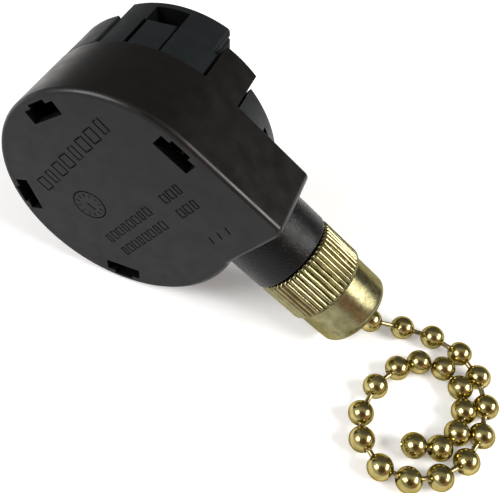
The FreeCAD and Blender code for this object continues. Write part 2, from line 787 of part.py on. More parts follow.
def make_return_spring():
    """The flat spiral that turns the drum back: half turns whose centres step from side to side."""
    pitch = N["return_spring_pitch"]
    strip = N["return_spring_strip"]
    radius = N["return_spring_inner"]
    halves = int(N["return_spring_turns"] * 2)

    def half_turns(start_radius):
        arcs = []
        here = Vector(start_radius, 0, 0)
        side = 1
        for index in range(halves):
            reach = start_radius + pitch * (index + 1) / 2
            end = Vector(-side * reach, 0, 0)
            middle_x = (here.x + end.x) / 2
            bow = abs(here.x - end.x) / 2
            arcs.append(Part.Arc(here, Vector(middle_x, side * bow, 0), end).toShape())
            here = end
            side = -side
        return arcs, here

    inner, inner_end = half_turns(radius)
    outer, outer_end = half_turns(radius + strip)
    ends = [
        Part.LineSegment(Vector(radius, 0, 0), Vector(radius + strip, 0, 0)).toShape(),
        Part.LineSegment(inner_end, outer_end).toShape(),
    ]
    outline = Part.Wire(Part.__sortEdges__(inner + outer + ends))
    band = Part.Face(outline).extrude(Vector(0, 0, N["return_spring_width"]))
    band.translate(Vector(0, 0, N["return_spring_bottom"]))
    keep_shape(band, "drum_return_spring")


def make_detent_ball():
    ball = document.addObject("Part::Sphere", "detent_ball")
    bind(ball, "Radius", D["scallop_radius"] - 0.15)
    keep(ball, "detent_ball")
    along = N["rotor_radius"] + N["scallop_radius"]
    place = Rotation(Vector(0, 0, 1), N["detent_angle"]).multVec(Vector(along, 0, detent_height()))
    ball.Placement = to_rest.multiply(Placement(place, Rotation()))


# ---------------------------------------------------------------- ball chain

def bead_string(places, name, tail):
    """Beads on a thin link wire, as one solid of spheres and short rods, each bead's poles along it."""
    solids = []
    path = places + [tail]
    for here, there in zip(path, path[1:]):
        solids.append(Part.makeSphere(N["bead_radius"], here, there - here))
        solids.append(Part.makeCylinder(N["link_radius"], (there - here).Length, here, there - here))
    keep_shape(solids[0].multiFuse(solids[1:]), name)


def make_inner_chain():
    """The straight run from the drum's tangent point, through the neck, to the mouth of the nut."""
    places = []
    along = N["chain_start"]
    while along + N["bead_radius"] < N["chain_handover"]:
        places.append(Vector(along, -N["chain_offset"], N["chain_depth"]))
        along += N["bead_pitch"]
    end = Vector(N["chain_handover"], -N["chain_offset"], N["chain_depth"])
    bead_string(places, "chain_inner_run", end)


def wrap_angle(index):
    """Degrees round the drum of each wrapped bead, counted back from the tangent point."""
    first = N["bead_pitch"] - N["chain_start"]
    return -90 - math.degrees((first + index * N["bead_pitch"]) / N["chain_offset"])


def on_drum(angle, height):
    turned = math.radians(angle)
    radius = N["chain_offset"]
    return Vector(radius * math.cos(turned), radius * math.sin(turned), height)


def make_wrapped_chain():
    count = int(N["wrapped_beads"])
    places = [on_drum(wrap_angle(index), N["chain_depth"]) for index in range(count)]
    anchor = on_drum(wrap_angle(count - 0.5), N["chain_depth"])
    bead_string(places, "chain_drum_wrap", anchor)


def make_chain_anchor():
    """The crimped brass stop that holds the chain's inner end between the flanges."""
    start = on_drum(wrap_angle(N["wrapped_beads"] - 0.5), N["chain_depth"])
    along = start - on_drum(wrap_angle(N["wrapped_beads"] - 1), N["chain_depth"])
    stop = Part.makeCylinder(N["bead_radius"] - 0.3, N["bead_radius"] * 1.4, start, along)
    core = Part.makeCylinder(N["chain_offset"] - N["bead_radius"] - 0.05, N["drum_height"])
    core.translate(Vector(0, 0, N["drum_bottom"]))
    keep_shape(stop.cut(core), "chain_anchor")


# The free chain in the row frame: out of the nut, down to the table, then once and a half round in a
# shrinking curl. The table is one case radius below the drum axis.
BED = -15.8
ROUTE = [
    (38.02, 6.7, -14.49),
    (41.6, 8.6, BED),
    (45.9, 9.4, BED),
    (50.4, 9.1, BED),
    (54.0, 7.5, BED),
    (56.7, 4.3, BED),
    (57.9, -0.5, BED),
    (57.3, -5.6, BED),
    (55.1, -10.1, BED),
    (51.3, -13.2, BED),
    (46.9, -14.4, BED),
    (43.0, -12.8, BED),
    (40.8, -9.1, BED),
    (40.9, -4.9, BED),
    (42.5, -0.5, BED),
    (45.1, 3.1, BED),
    (48.6, 4.9, BED),
    (52.1, 4.3, BED),
    (54.2, 1.7, BED),
    (54.7, -1.7, BED),
    (54.2, -5.0, BED),
    (52.6, -7.8, BED),
    (49.9, -9.1, BED),
    (47.0, -8.8, BED),
]


def rounded_path(points):
    """Straight runs joined by tangent arcs, each arc as large as its two runs allow."""
    edges = []
    radii = []
    here = points[0]
    for before, corner, after in zip(points, points[1:], points[2:]):
        back = before - corner
        ahead = after - corner
        turn = math.pi - back.getAngle(ahead)
        reach = 0.45 * min(back.Length, ahead.Length)
        radius = reach / math.tan(turn / 2)
        back.normalize()
        ahead.normalize()
        start = corner + back * reach
        finish = corner + ahead * reach
        inward = (back + ahead).normalize()
        middle = corner + inward * (radius / math.cos(turn / 2) - radius)
        edges.append(Part.LineSegment(here, start).toShape())
        edges.append(Part.Arc(start, middle, finish).toShape())
        radii.append(radius)
        here = finish
    edges.append(Part.LineSegment(here, points[-1]).toShape())
    return Part.Wire(edges), radii


def make_free_chain():
    exit_point = Vector(N["chain_handover"], -N["chain_offset"], N["chain_depth"])
    start = to_rest.multVec(exit_point)
    points = [start] + [Vector(*place) for place in ROUTE]
    path, radii = rounded_path(points)
    first = points[1] - points[0]
    section = Part.Wire(Part.makeCircle(N["bead_radius"], start, first))
    tube = path.makePipeShell([section], True, False)
    ideal = math.pi * N["bead_radius"] ** 2 * path.Length
    print("free chain: length %.1f mm, volume %.4f of section x length" % (path.Length, tube.Volume / ideal))
    print("arc radii:", ", ".join("%.1f" % radius for radius in radii))
    item = document.addObject("Part::Feature", "pull_chain")
    item.Shape = tube
    item.Label = "pull_chain"
    nodes.append(item)


# ---------------------------------------------------------------- nut and guide

def make_knurled_nut():
    """A brass cap nut, ribbed where it is gripped, whose plain tip lets the chain through."""
    body = new_body("knurled_nut")
    axis = -D["chain_offset"]
    start, knurl, end = D["nut_start"], D["knurl_end"], D["nut_end"]
    edge = 0.4
    profile = new_sketch(body, "nut_profile", height=D["chain_depth"])
    draw_polygon(profile, [
        (start, axis + D["nut_bore"]), (start, axis + D["knurl_radius"] - edge),
        (start + edge, axis + D["knurl_radius"]), (knurl - edge, axis + D["knurl_radius"]),
        (knurl, axis + D["tip_radius"] + 0.05), (knurl, axis + D["tip_radius"]),
        (end, axis + D["tip_radius"]), (end, axis + D["tip_hole"]),
        (D["nut_floor"], axis + D["tip_hole"]), (D["nut_floor"], axis + D["nut_bore"]),
    ])
    draw_axis(profile, axis)
    revolve(body, profile)
    tip = N["nut_end"]
    rim = N["tip_radius"]

    def tip_rim(edge):
        box = edge.BoundBox
        return box.XMin > tip - 1e-6 and box.YLength > 2 * rim - 1e-3
    round_edges(body, "nut_tip", D["tip_fillet"], tip_rim)
    groove = new_sketch(body, "knurl_groove", "YZ_Plane", start - 0.1)
    low = D["knurl_radius"] - D["knurl_depth"]
    crest = D["knurl_radius"] + 0.1
    centre_up = D["chain_depth"]
    draw_polygon(groove, [
        (axis, centre_up + low), (axis + 0.3, centre_up + crest), (axis - 0.3, centre_up + crest),
    ])
    cut = pocket(body, groove, knurl - start + 0.1)
    line = new_sketch(body, "knurl_axis", height=D["chain_depth"])
    draw_axis(line, axis)
    pattern = body.newObject("PartDesign::PolarPattern", "knurl")
    pattern.Originals = [cut]
    pattern.Axis = (line, ["Axis0"])
    pattern.Angle = 360
    pattern.Occurrences = int(N["knurl_count"])
    body.Tip = pattern
    document.recompute()


def make_chain_guide():
    """The brass eyelet pressed into the end of the threaded stub, so that the beads do not wear it."""
    body = new_body("chain_guide")
    axis = -D["chain_offset"]
    back = D["stub_end"] - D["guide_depth"]
    profile = new_sketch(body, "guide_profile", height=D["chain_depth"])
    draw_polygon(profile, [
        (back, axis + D["guide_bore"]), (back, axis + D["guide_radius"]),
        (D["stub_end"], axis + D["guide_radius"]), (D["stub_end"], axis + D["guide_flange"]),
        (D["stub_end"] + D["guide_lip"], axis + D["guide_flange"]),
        (D["stub_end"] + D["guide_lip"], axis + D["guide_bore"]),
    ])
    draw_axis(profile, axis)
    revolve(body, profile)


# ---------------------------------------------------------------- assembly

make_rear_case()
make_terminal_cover()
make_contact_carrier()
make_drum_axle()
make_return_spring()
make_drive_drum()
make_ratchet_rotor()
make_rotor_contact()
spring_foot = (rotor_top() + D["contact_thickness"]).number
spring_room = N["carrier_bottom"] - spring_foot
spring_place = Vector(0, 0, spring_foot)
upwards = Vector(0, 0, 1)
spring_radius, spring_turns = N["rotor_spring_radius"], N["rotor_spring_turns"]
make_coil_spring("rotor_spring", spring_radius, spring_place, upwards, spring_room, spring_turns)
outward = Rotation(Vector(0, 0, 1), N["detent_angle"]).multVec(Vector(1, 0, 0))
detent_foot = outward * (N["rotor_radius"] + 2 * N["scallop_radius"]) + Vector(0, 0, detent_height())
detent_length, detent_turns = N["detent_spring_length"], N["detent_spring_turns"]
make_coil_spring("detent_spring", N["detent_spring_radius"], detent_foot, outward, detent_length, detent_turns)
make_detent_ball()
for entry in wire_places():
    make_terminal(*entry)
    make_wire_clamp(*entry)
make_inner_chain()
make_wrapped_chain()
make_chain_anchor()
make_free_chain()
make_knurled_nut()
make_chain_guide()
document.recompute()

faults = []
for item in document.Objects:
    if "Invalid" in item.State or "Error" in item.State:
        faults.append(f"{item.Name}: {item.State}")
    elif item.TypeId in ("PartDesign::Pocket", "PartDesign::Groove"):
        if item.Shape.isNull() or item.BaseFeature.Shape.isNull():
            faults.append(f"{item.Name} has no shape")
        elif item.Shape.Volume > item.BaseFeature.Shape.Volume - 1e-4:
            faults.append(f"{item.Name} cuts nothing")
for item in nodes:
    if item.Shape.isNull() or not item.Shape.isValid() or not item.Shape.Solids:
        faults.append(f"{item.Label} has no valid solid")
if faults:
    raise RuntimeError("; ".join(faults))

os.makedirs("parts", exist_ok=True)
for item in nodes:
    item.Shape.exportStep(os.path.join("parts", item.Label + ".step"))
    print(f"{item.Label}: {len(item.Shape.Solids)} solid, {item.Shape.Volume:.1f} mm3")
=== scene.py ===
import json
import math
import random

import bmesh
import bpy
from mathutils import Matrix, Vector, noise


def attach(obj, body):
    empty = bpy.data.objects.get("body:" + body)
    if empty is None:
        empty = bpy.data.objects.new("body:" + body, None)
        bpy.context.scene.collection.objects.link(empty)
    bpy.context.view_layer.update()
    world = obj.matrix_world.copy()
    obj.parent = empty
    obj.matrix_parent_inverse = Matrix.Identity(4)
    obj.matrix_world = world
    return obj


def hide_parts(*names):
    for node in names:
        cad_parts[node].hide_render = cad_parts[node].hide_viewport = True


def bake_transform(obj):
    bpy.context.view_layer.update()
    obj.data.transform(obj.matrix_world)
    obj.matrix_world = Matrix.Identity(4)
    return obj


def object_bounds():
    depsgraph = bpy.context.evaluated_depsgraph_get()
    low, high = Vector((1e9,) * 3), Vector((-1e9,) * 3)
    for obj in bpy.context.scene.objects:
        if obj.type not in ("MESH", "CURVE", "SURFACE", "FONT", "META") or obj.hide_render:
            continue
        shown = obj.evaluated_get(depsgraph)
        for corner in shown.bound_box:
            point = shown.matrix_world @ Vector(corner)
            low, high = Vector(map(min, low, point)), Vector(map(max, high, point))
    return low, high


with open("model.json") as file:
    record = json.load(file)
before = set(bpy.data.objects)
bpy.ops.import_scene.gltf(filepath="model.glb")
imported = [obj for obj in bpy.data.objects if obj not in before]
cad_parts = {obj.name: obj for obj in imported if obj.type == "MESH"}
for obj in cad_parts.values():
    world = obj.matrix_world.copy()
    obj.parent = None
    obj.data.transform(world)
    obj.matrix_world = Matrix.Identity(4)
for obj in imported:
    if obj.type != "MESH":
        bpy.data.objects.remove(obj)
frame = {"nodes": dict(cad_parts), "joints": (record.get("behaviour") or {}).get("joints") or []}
cad_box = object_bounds()

# The switch lies on its round wall and its nut, tipped about Y. The case, cover and nut are built
# upright in millimetres, X along the neck and Z up from the rating face, and laid down at the end.
MM = 0.001
pull = next(joint for joint in frame["joints"] if joint["name"] == "chain_pull")
TILT = math.atan2(-pull["axis"][2], pull["axis"][0])
REST = Matrix.Rotation(TILT, 4, "Y") @ Matrix.Rotation(math.radians(-90), 4, "X")
BENCH = REST @ Matrix.Scale(MM, 4)
TABLE = cad_box[0].z

# housing
CASE_RADIUS = 17.5
WALL_HEIGHT = 11.3
WALL = 1.5
FLOOR = 1.6
RIM = 0.8
BLOCK_END = 16.5
BLOCK_CORNER = 1.2
STATIONS = [-90.0, -162.0, 126.0, 54.0]
EDGE = 0.14

# Walls that would lie on each other are set this far apart, so that the cuts stay clean.
SKIN = 0.015
TAB_INNER = 15.9
TAB_ANGLE = 9.0
TAB_TOP = 18.6
BARB_ANGLE = 5.7
GROOVE_LOW = 11.18
GROOVE_HIGH = 11.42
GROOVE_DEPTH = 0.22

# markings on the rating face
ENGRAVED = 0.09
ROW_LEAN = 6
CLOCK = (-2.0, 4.4)

# neck and nut
AXIS_SIDE = -8.9
AXIS_UP = 6.7
NECK_RADIUS = 6.55
NECK_END = 22.7
STUB_END = 33.5
STUB_RADIUS = 4.3
THREAD_CREST = 4.72
THREAD_PITCH = 0.94
CHAIN_BORE = 2.3
GUIDE_BORE = 2.9
GUIDE_LENGTH = 5.0
NUT_START = 23.05
KNURL_END = 30.2
NUT_END = 36.7
NUT_RADIUS = 6.5
TIP_RADIUS = 6.0
TIP_ROUND = 1.2
NUT_BORE = 4.8
NUT_FLOOR = 35.4
TIP_HOLE = 3.4
RIB_COUNT = 48

# terminal cover
COVER_RADIUS = 17.2
COVER_INNER = 14.4
COVER_FOOT = 11.32
DECK_TOP = 16.5
TOWER_TOP = 22.4
TOWER_HALF = 7.75
TOWER_BACK = 6.0
TOWER_TURN = -129.0
TOWER_WALL = 1.4
TOWER_CORNER = 0.7
DECK_WALL = 1.3
WIRE_BORE = 1.35
WIRE_MOUTH = 2.05
WIRE_GUIDE = 2.4
SLOT_WIDTH = 4.9
KEY_SLOT_TOP = 21.0
SIDE_SLOT_TOP = 14.7

# bead chain
BEAD = 1.78
LINK = 0.42
BEAD_HOLE = 0.62
BED = -15.8
ROUTE = [
    (38.02, 6.7, -14.49),
    (41.6, 8.6, BED),
    (45.9, 9.4, BED),
    (50.4, 9.1, BED),
    (54.0, 7.5, BED),
    (56.7, 4.3, BED),
    (57.9, -0.5, BED),
    (57.3, -5.6, BED),
    (55.1, -10.1, BED),
    (51.3, -13.2, BED),
    (46.9, -14.4, BED),
    (43.0, -12.8, BED),
    (40.8, -9.1, BED),
    (40.9, -4.9, BED),
    (42.5, -0.5, BED),
    (45.1, 3.1, BED),
    (48.6, 4.9, BED),
    (52.1, 4.3, BED),
    (54.2, 1.7, BED),
    (54.7, -1.7, BED),
    (54.2, -5.0, BED),
    (52.6, -7.8, BED),
    (49.9, -9.1, BED),
    (47.0, -8.8, BED),
]
CHAIN_EXIT = BENCH @ Vector((35.2, AXIS_SIDE, AXIS_UP))


# ---------------------------------------------------------------- outlines

def on_circle(radius, degrees, centre=(0.0, 0.0)):
    angle = math.radians(degrees)
    return Vector((centre[0] + radius * math.cos(angle), centre[1] + radius * math.sin(angle)))


def arc(radius, start, finish, centre=(0.0, 0.0), step=1.0):
    """Points on a circle at whole steps, with both ends."""
    points = [on_circle(radius, start, centre)]
    way = 1 if finish > start else -1
    angle = math.floor(start / step + 1) * step if way > 0 else math.ceil(start / step - 1) * step
    while (finish - angle) * way > 1e-6:
        points.append(on_circle(radius, angle, centre))
        angle += step * way
    points.append(on_circle(radius, finish, centre))
    return points


def circle(radius, centre=(0.0, 0.0), count=96):
    return [on_circle(radius, 360 * index / count, centre) for index in range(count)]


def rectangle(left, right, low, high):
    return [Vector(p) for p in ((left, low), (right, low), (right, high), (left, high))]


def turned(points, degrees):
    spin = Matrix.Rotation(math.radians(degrees), 2)
    return [spin @ point for point in points]


def inset(points, distance):
    """Moves a counterclockwise outline inwards, with mitred corners."""
    made = []
    count = len(points)
    for index, here in enumerate(points):
        before = (here - points[index - 1]).normalized()
        after = (points[(index + 1) % count] - here).normalized()
        left, right = Vector((-before.y, before.x)), Vector((-after.y, after.x))
        made.append(here + (left + right) * (distance / (1 + left.dot(right))))
    return made


def case_outline():
    meet = math.sqrt(CASE_RADIUS ** 2 - BLOCK_END ** 2)
    start = math.degrees(math.atan2(-meet, BLOCK_END))
    bend = (BLOCK_END - BLOCK_CORNER, BLOCK_CORNER - CASE_RADIUS)
    return arc(CASE_RADIUS, start, 270) + arc(BLOCK_CORNER, -90, 0, bend, step=11.25)


def tower_outline(radius, half, back, corner):
    """The tower's plan along +X: an arc in front, straight sides and back, and rounded corners."""
    front = Vector((math.sqrt((radius - corner) ** 2 - (half - corner) ** 2), half - corner))
    meet = math.degrees(math.atan2(front.y, front.x))
    points = arc(radius, -meet, meet)
    points += arc(corner, meet, 90, front, step=15)[1:]
    points += arc(corner, 90, 180, (corner - back, half - corner), step=15)
    points += arc(corner, 180, 270, (corner - back, corner - half), step=15)
    points += arc(corner, 270, 360 - meet, (front.x, -front.y), step=15)[:-1]
    return points


def station_outline(inner, outer, half_angle):
    """A curved block along +X between two radii, whose far corners are half_angle away."""
    half = outer * math.sin(math.radians(half_angle))
    near = math.degrees(math.asin(half / inner))
    return arc(outer, -half_angle, half_angle) + arc(inner, near, -near)


# ---------------------------------------------------------------- solids

def new_object(name, shape):
    mesh = bpy.data.meshes.new(name)
    bmesh.ops.recalc_face_normals(shape, faces=shape.faces)
    if shape.calc_volume(signed=True) < 0:
        bmesh.ops.reverse_faces(shape, faces=shape.faces)
    shape.to_mesh(mesh)
    shape.free()
    made = bpy.data.objects.new(name, mesh)
    bpy.context.scene.collection.objects.link(made)
    return made


def add_prism(shape, outline, low, high, foot_round=0.0, top_round=0.0, steps=4):
    """A closed upright solid on an outline, with rounded edges round its foot and its top."""
    levels = []
    for step in range(steps + 1 if foot_round else 1):
        turn = math.radians(90 * step / steps)
        levels.append((low + foot_round * (1 - math.sin(turn)), foot_round * (1 - math.cos(turn))))
    levels.reverse()
    for step in range(steps + 1 if top_round else 1):
        turn = math.radians(90 * step / steps)
        levels.append((high - top_round * (1 - math.sin(turn)), top_round * (1 - math.cos(turn))))
    rings = []
    for height, shift in levels:
        points = inset(outline, shift) if shift > 1e-9 else outline
        rings.append([shape.verts.new((point.x, point.y, height)) for point in points])
    bridge(shape, rings)
    shape.faces.new(rings[0][::-1])
    shape.faces.new(rings[-1])


def bridge(shape, rings):
    for lower, upper in zip(rings, rings[1:]):
        count = len(lower)
        for index in range(count):
            after = (index + 1) % count
            shape.faces.new((lower[index], lower[after], upper[after], upper[index]))


def prism(outline, low, high, foot_round=0.0, top_round=0.0, steps=4):
    shape = bmesh.new()
    add_prism(shape, outline, low, high, foot_round, top_round, steps)
    return new_object("tool", shape)


def turning(profile, count=144, radius_at=None):
    """A solid turned about the neck's axis from (along, radius) pairs; a closed ring if both ends meet."""
    shape = bmesh.new()
    rings = []
    for along, radius in profile:
        ring = []
        for index in range(count):
            angle = 2 * math.pi * index / count
            reach = radius_at(along, radius, angle) if radius_at else radius
            place = (along, AXIS_SIDE + reach * math.cos(angle), AXIS_UP + reach * math.sin(angle))
            ring.append(shape.verts.new(place))
        rings.append(ring)
    hollow = profile[0] == profile[-1]
    if hollow:
        for vert in rings.pop():
            shape.verts.remove(vert)
        rings.append(rings[0])
    bridge(shape, rings)
    if not hollow:
        shape.faces.new(rings[0])
        shape.faces.new(rings[-1][::-1])
    return new_object("tool", shape)


def combine(target, tool, operation):
    step = target.modifiers.new("combine", "BOOLEAN")
    step.solver = "EXACT"
    step.operation = operation
    step.object = tool
    depsgraph = bpy.context.evaluated_depsgraph_get()
    mesh = bpy.data.meshes.new_from_object(target.evaluated_get(depsgraph))
    target.modifiers.clear()
    target.data = mesh
    bpy.data.objects.remove(tool)
    return target


def lay_down(piece, name, body, node, materials, sharp=33):
    """Puts a bench piece in its place in the frame, shades it and lets it stand for its CAD node."""
    piece.name = name
    mesh = piece.data
    mesh.name = name
    mesh.transform(BENCH)
    for material in materials:
        mesh.materials.append(material)
    mesh.shade_smooth()
    mesh.set_sharp_from_angle(angle=math.radians(sharp))
    even = piece.modifiers.new("even_normals", "WEIGHTED_NORMAL")
    even.keep_sharp = True
    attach(piece, body)
    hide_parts(node)
    return piece


# ---------------------------------------------------------------- finishes

def surface(name, **values):
    material = bpy.data.materials.new(name)
    material.use_nodes = True
    shader = material.node_tree.nodes["Principled BSDF"]
    for socket, value in values.items():
        shader.inputs[socket.replace("_", " ")].default_value = value
    return material, material.node_tree, shader


def place_of(tree, stretch=(1, 1, 1)):
    """Where a point is on the piece; stretch is along the neck, across it and up from the rating face."""
    coordinate = tree.nodes.new("ShaderNodeTexCoord")
    if stretch == (1, 1, 1):
        return coordinate.outputs["Object"]
    upright = tree.nodes.new("ShaderNodeMapping")
    upright.inputs["Rotation"].default_value = REST.inverted().to_euler()
    tree.links.new(coordinate.outputs["Object"], upright.inputs["Vector"])
    longer = tree.nodes.new("ShaderNodeMapping")
    longer.inputs["Scale"].default_value = stretch
    tree.links.new(upright.outputs["Vector"], longer.inputs["Vector"])
    return longer.outputs["Vector"]


def grain(tree, size, detail=3.0, stretch=(1, 1, 1), distortion=0.0):
    """Noise whose features are about size millimetres across."""
    texture = tree.nodes.new("ShaderNodeTexNoise")
    texture.inputs["Scale"].default_value = 1 / (size * MM)
    texture.inputs["Detail"].default_value = detail
    texture.inputs["Distortion"].default_value = distortion
    tree.links.new(place_of(tree, stretch), texture.inputs["Vector"])
    return texture.outputs["Fac"]


def spread(tree, value, low, high, start=0.3, end=0.7):
    ranged = tree.nodes.new("ShaderNodeMapRange")
    ranged.inputs["From Min"].default_value = start
    ranged.inputs["From Max"].default_value = end
    ranged.inputs["To Min"].default_value = low
    ranged.inputs["To Max"].default_value = high
    tree.links.new(value, ranged.inputs["Value"])
    return ranged.outputs["Result"]


def tint(tree, value, dark, light, start=0.3, end=0.7):
    ramp = tree.nodes.new("ShaderNodeValToRGB")
    ramp.color_ramp.elements[0].position = start
    ramp.color_ramp.elements[0].color = (*dark, 1)
    ramp.color_ramp.elements[1].position = end
    ramp.color_ramp.elements[1].color = (*light, 1)
    tree.links.new(value, ramp.inputs["Fac"])
    return ramp.outputs["Color"]


def relief(tree, shader, *layers):
    """Bump layers, each (height, depth in millimetres), one on top of the other."""
    normal = None
    for height, depth in layers:
        layer = tree.nodes.new("ShaderNodeBump")
        layer.inputs["Distance"].default_value = depth * MM
        tree.links.new(height, layer.inputs["Height"])
        if normal is not None:
            tree.links.new(normal, layer.inputs["Normal"])
        normal = layer.outputs["Normal"]
    tree.links.new(normal, shader.inputs["Normal"])


def moulded_plastic(name, dark, light, smooth, rough, grain_depth, grain_size=0.13, specular=0.5):
    """Moulded plastic: a fine spark-eroded grain, faint flow marks and a little handling polish."""
    material, tree, shader = surface(name, Specular_IOR_Level=specular)
    flow = grain(tree, 5.0, 4.0, distortion=0.6)
    tree.links.new(tint(tree, flow, dark, light), shader.inputs["Base Color"])
    handled = grain(tree, 2.2, 5.0)
    tree.links.new(spread(tree, handled, smooth, rough), shader.inputs["Roughness"])
    relief(tree, shader, (flow, 0.02), (grain(tree, grain_size, 2.0), grain_depth))
    return material


def plated_brass(name, dark, light, smooth, rough, turned_depth, dent_depth, rim=(1, 1, 1, 1)):
    """Brass plate: turning marks round the neck's axis, a soft patina, small dents and a darker rim."""
    material, tree, shader = surface(name, Metallic=1.0, Specular_Tint=rim)
    patina = grain(tree, 1.6, 6.0, distortion=0.4)
    tree.links.new(tint(tree, patina, dark, light, 0.35, 0.65), shader.inputs["Base Color"])
    smear = grain(tree, 0.5, 5.0)
    tree.links.new(spread(tree, smear, smooth, rough), shader.inputs["Roughness"])
    layers = [(grain(tree, 0.9, 3.0), dent_depth)]
    if turned_depth:
        layers.append((grain(tree, 0.06, 2.0, (1.0, 0.12, 0.12)), turned_depth))
    relief(tree, shader, *layers)
    return material


def sheet_metal(name, dark, light, rough):
    """Plated strip or wire: drawn streaks and a thin uneven tarnish."""
    material, tree, shader = surface(name, Metallic=1.0)
    tarnish = grain(tree, 1.1, 5.0)
    tree.links.new(tint(tree, tarnish, dark, light), shader.inputs["Base Color"])
    streak = grain(tree, 0.1, 3.0, (1.0, 0.1, 1.0))
    tree.links.new(spread(tree, streak, rough - 0.08, rough + 0.12), shader.inputs["Roughness"])
    relief(tree, shader, (streak, 0.004))
    return material


CASE_WALL = moulded_plastic(
    "case_plastic", (0.0030, 0.0024, 0.0020), (0.0044, 0.0036, 0.0030), 0.28, 0.40, 0.0035, specular=0.33,
)
# The rating face gets its own lighter, cooler copy of the case plastic: painted light, as the face and the
# wall are one plastic.
FACE_PAINTED_LIGHT = moulded_plastic(
    "rating_face_painted_light", (0.0058, 0.0062, 0.0070), (0.0082, 0.0086, 0.0096), 0.46, 0.58, 0.006, specular=0.19,
)
NECK = moulded_plastic(
    "neck_plastic", (0.0020, 0.0022, 0.0025), (0.0032, 0.0034, 0.0038), 0.21, 0.31, 0.075,
    grain_size=0.21, specular=0.17,
)
COVER = moulded_plastic(
    "cover_plastic", (0.0040, 0.0058, 0.0066), (0.0060, 0.0082, 0.0092), 0.38, 0.52, 0.004, specular=0.36,
)
# A darker, almost unglossy copy of the cover plastic for the tower's one flank: painted shade on that side.
COVER_SHADED_SIDE = moulded_plastic(
    "cover_shaded_side", (0.0036, 0.0048, 0.0054), (0.0050, 0.0064, 0.0070), 0.55, 0.70, 0.006, specular=0.08,
)
# A near-black copy of the plastic for the insides of the case and the cover: painted shade in the hollows.
PAINTED_SHADE_INSIDE = moulded_plastic(
    "unlit_inside", (0.0010, 0.0010, 0.0010), (0.0016, 0.0016, 0.0016), 0.70, 0.85, 0.004, specular=0.1,
)
NYLON = moulded_plastic("nylon", (0.45, 0.43, 0.36), (0.56, 0.53, 0.45), 0.35, 0.50, 0.004)
NUT_BRASS = plated_brass(
    "nut_brass", (0.165, 0.150, 0.078), (0.255, 0.235, 0.128), 0.20, 0.29, 0.006, 0.007,
    (0.60, 0.56, 0.40, 1),
)
BEAD_BRASS = plated_brass(
    "chain_brass", (0.31, 0.255, 0.092), (0.50, 0.425, 0.185), 0.12, 0.23, 0.0, 0.05, (0.36, 0.30, 0.16, 1),
)
LINK_BRASS = plated_brass("link_brass", (0.24, 0.19, 0.09), (0.42, 0.35, 0.18), 0.22, 0.38, 0.003, 0.004)
STRIP_BRASS = sheet_metal("strip_brass", (0.50, 0.36, 0.14), (0.70, 0.53, 0.25), 0.30)
STEEL = sheet_metal("spring_steel", (0.38, 0.38, 0.39), (0.58, 0.58, 0.60), 0.28)


# ---------------------------------------------------------------- rear case

def face_window():
    """The slot in the rating face below a snap tab, with its shallow outer notch, along +X."""
    inner, outer, notch_reach, half, notch = 13.9, 15.9, 16.5, 2.7, 1.45
    return [Vector(p) for p in (
        (inner, -half), (outer, -half), (outer, -notch), (notch_reach, -notch),
        (notch_reach, notch), (outer, notch), (outer, half), (inner, half),
    )]


def bar(shape, along, across, length, width, slope=0.0):
    """One engraved stroke of the rating face, with round ends."""
    half, end = length / 2 - width / 2, []
    end += arc(width / 2, -90, 90, (half, 0), step=30)
    end += arc(width / 2, 90, 270, (-half, 0), step=30)
    outline = [point + Vector((along, across)) for point in turned(end, slope)]
    add_prism(shape, outline, -1.0, ENGRAVED)


def cell(shape, along, across, tall, wide, slope):
    """One place in a row of markings: an empty box of four strokes that don't quite meet."""
    stroke = 0.24
    for side in (-0.5, 0.5):
        post = turned([Vector((0, side * wide))], slope)[0]
        bar(shape, along + post.x, across + post.y, tall, stroke, slope)
        rail = turned([Vector((side * (tall - stroke), 0))], slope)[0]
        bar(shape, along + rail.x, across + rail.y, wide - 1.4 * stroke, stroke, slope + 90)


def engraving():
    """Plain engraved boxes and ticks where a switch carries its markings, with a mould clock."""
    shape = bmesh.new()
    wide_share, narrow_share = 0.62, 0.42
    rows = (
        (-8.2, -10.0, 7.2, 8, 2.3, ()),
        (3.6, -10.6, 7.6, 13, 1.6, (3, 4)),
        (6.5, -10.6, 7.6, 13, 1.6, (3, 4)),
    )
    for along, first, last, count, tall, spaces in rows:
        pitch = (last - first) / (count - 1)
        for index in range(count):
            if index not in spaces:
                wide = pitch * (wide_share if index % 3 else narrow_share)
                cell(shape, along, first + pitch * index, tall, wide, ROW_LEAN)
    for hour in range(12):
        spot = on_circle(1.75, 30 * hour, CLOCK)
        bar(shape, spot.x, spot.y, 0.62, 0.2, 30 * hour)
    bar(shape, CLOCK[0] + 0.35, CLOCK[1], 1.5, 0.24)
    for across in (-7.4, -9.2, -11.0):
        bar(shape, 12.0, across, 1.3, 0.26, 12)
    return new_object("tool", shape)


def clock_ring():
    """The thin engraved ring round the mould clock."""
    ring = prism(circle(2.55, CLOCK, 64), -1.0, ENGRAVED)
    return combine(ring, prism(circle(2.33, CLOCK, 64), -2.0, 1.0), "DIFFERENCE")


def parting_groove():
    """A shallow groove in the round wall below the tab to the left of the tower."""
    line = prism(circle(CASE_RADIUS + 1, count=180), GROOVE_LOW, GROOVE_HIGH)
    core = prism(circle(CASE_RADIUS - GROOVE_DEPTH, count=180), 10.0, 12.0)
    groove = combine(line, core, "DIFFERENCE")
    near_tab = prism(turned(rectangle(10.0, 20.0, -6.0, 6.0), STATIONS[1]), 10.0, 13.0)
    return combine(groove, near_tab, "INTERSECT")


